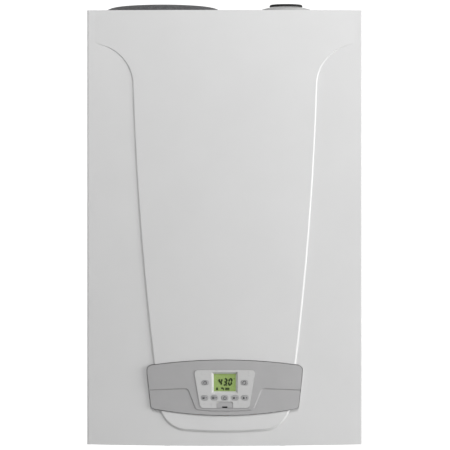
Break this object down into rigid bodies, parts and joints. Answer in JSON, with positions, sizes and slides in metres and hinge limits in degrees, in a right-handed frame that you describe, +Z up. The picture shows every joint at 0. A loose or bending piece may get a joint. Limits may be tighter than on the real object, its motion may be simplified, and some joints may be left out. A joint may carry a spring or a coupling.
{
  "type": "gas boiler",
  "caption": "Wall-hung gas boiler with a built-in storage cylinder: bowed white casing, raised shield, grey control fascia with display, buttons and flap, flue socket on top.",
  "frame": {"origin": "midway between the two wall-screw holes of the hanging bar, on the wall plane", "axes": "+X right seen from the front, +Y into the wall, +Z up"},
  "size_m": [0.6, 0.4669, 1.0056],
  "materials": {
    "white_enamel": "smooth satin stove enamel",
    "galvanised": "galvanised sheet",
    "zinc_screws": "zinc plated",
    "fascia_grey": "fine moulded texture",
    "plate_silver": "silver lacquer",
    "button_grey": "soft moulded",
    "clear_window": "clear",
    "display_green": "backlit",
    "board_green": "lacquered laminate",
    "box_black": "moulded",
    "foam_grey": "bead foam",
    "stainless": "rolled stainless",
    "flue_polymer": "moulded",
    "seal_rubber": "smooth",
    "drum_composite": "moulded composite",
    "cast_aluminium": "as cast",
    "wheel_plastic": "moulded",
    "ceramic": "glazed",
    "copper": "drawn copper",
    "brass": "turned",
    "red_cap": "moulded",
    "vessel_red": "powder coat"
  },
  "bodies": {
    "chassis": {"air_vent": "brass", "bottom_tray": "galvanised", "burner_door": "cast_aluminium", "burner_tube": "stainless", "cable_gland": "box_black", "cold_water_pipe": "copper", "condensate_hose": "flue_polymer", "condensate_trap": "box_black", "control_board": "board_green", "control_box": "box_black", "control_fascia": "fascia_grey", "cover_screws": "zinc_screws", "cylinder_saddle": "galvanised", "display_lens": "clear_window", "display_panel": "display_green", "diverter_motor": "box_black", "electrodes": "ceramic", "exchanger_flow_pipe": "copper", "exchanger_return_pipe": "copper", "expansion_vessel": "vessel_red", "fan_housing": "drum_composite", "fan_motor": "cast_aluminium", "flap_pin": "zinc_screws", "flow_group": "drum_composite", "flue_duct": "flue_polymer", "flue_seal": "seal_rubber", "flue_socket": "flue_polymer", "gas_feed_pipe": "copper", "gas_mixer": "cast_aluminium", "gas_pipe": "copper", "gas_valve": "cast_aluminium", "heat_exchanger": "drum_composite", "hot_water_pipe": "copper", "insulation_cap": "foam_grey", "insulation_jacket": "foam_grey", "keypad_plate": "plate_silver", "left_control_bracket": "galvanised", "left_side_panel": "white_enamel", "pump_body": "drum_composite", "pump_motor": "cast_aluminium", "rear_frame": "galvanised", "right_control_bracket": "galvanised", "right_side_panel": "white_enamel", "safety_valve": "brass", "storage_tank": "stainless", "top_panel": "white_enamel", "vessel_pipe": "copper", "wall_bracket": "galvanised"},
    "front_cover": {"front_cover": "white_enamel"},
    "service_flap": {"service_flap": "fascia_grey"},
    "fan_wheel": {"fan_wheel": "wheel_plastic"},
    "safety_valve_knob": {"safety_valve_knob": "red_cap"},
    "filling_tap_knob": {"filling_tap_knob": "box_black"},
    "button_lower_1": {"button_lower_1": "button_grey"},
    "button_lower_2": {"button_lower_2": "button_grey"},
    "button_lower_3": {"button_lower_3": "button_grey"},
    "button_lower_4": {"button_lower_4": "button_grey"},
    "button_lower_5": {"button_lower_5": "button_grey"},
    "button_upper_left": {"button_upper_left": "button_grey"},
    "button_upper_right": {"button_upper_right": "button_grey"}
  },
  "joints": [
    {"name": "cover_slide", "type": "slide", "parent": "chassis", "child": "front_cover", "axis": [0, -1, 0], "range_m": [0, 0.2]},
    {"name": "button_lower_1_press", "type": "slide", "parent": "chassis", "child": "button_lower_1", "axis": [0, 1, 0], "range_m": [0, 0.0009], "stiffness_N_per_m": 600},
    {"name": "button_lower_2_press", "type": "slide", "parent": "chassis", "child": "button_lower_2", "axis": [0, 1, 0], "range_m": [0, 0.0009], "stiffness_N_per_m": 600},
    {"name": "button_lower_3_press", "type": "slide", "parent": "chassis", "child": "button_lower_3", "axis": [0, 1, 0], "range_m": [0, 0.0009], "stiffness_N_per_m": 600},
    {"name": "button_lower_4_press", "type": "slide", "parent": "chassis", "child": "button_lower_4", "axis": [0, 1, 0], "range_m": [0, 0.0009], "stiffness_N_per_m": 600},
    {"name": "button_lower_5_press", "type": "slide", "parent": "chassis", "child": "button_lower_5", "axis": [0, 1, 0], "range_m": [0, 0.0009], "stiffness_N_per_m": 600},
    {"name": "button_upper_left_press", "type": "slide", "parent": "chassis", "child": "button_upper_left", "axis": [0, 1, 0], "range_m": [0, 0.0009], "stiffness_N_per_m": 600},
    {"name": "button_upper_right_press", "type": "slide", "parent": "chassis", "child": "button_upper_right", "axis": [0, 1, 0], "range_m": [0, 0.0009], "stiffness_N_per_m": 600},
    {"name": "flap_hinge", "type": "hinge", "parent": "chassis", "child": "service_flap", "pos_m": [0, -0.4648, -0.7953], "axis": [1, 0, 0], "range_deg": [-90, 0]},
    {"name": "fan_spin", "type": "hinge", "parent": "chassis", "child": "fan_wheel", "pos_m": [0.1395, -0.36, -0.43], "axis": [0, 1, 0], "continuous": true},
    {"name": "safety_valve_turn", "type": "hinge", "parent": "chassis", "child": "safety_valve_knob", "pos_m": [-0.1365, -0.225, -0.76], "axis": [0, 1, 0], "range_deg": [0, 90]},
    {"name": "filling_tap_turn", "type": "hinge", "parent": "chassis", "child": "filling_tap_knob", "pos_m": [0.104, -0.176, -0.9], "axis": [0, 0, 1], "range_deg": [0, 180]}
  ]
}
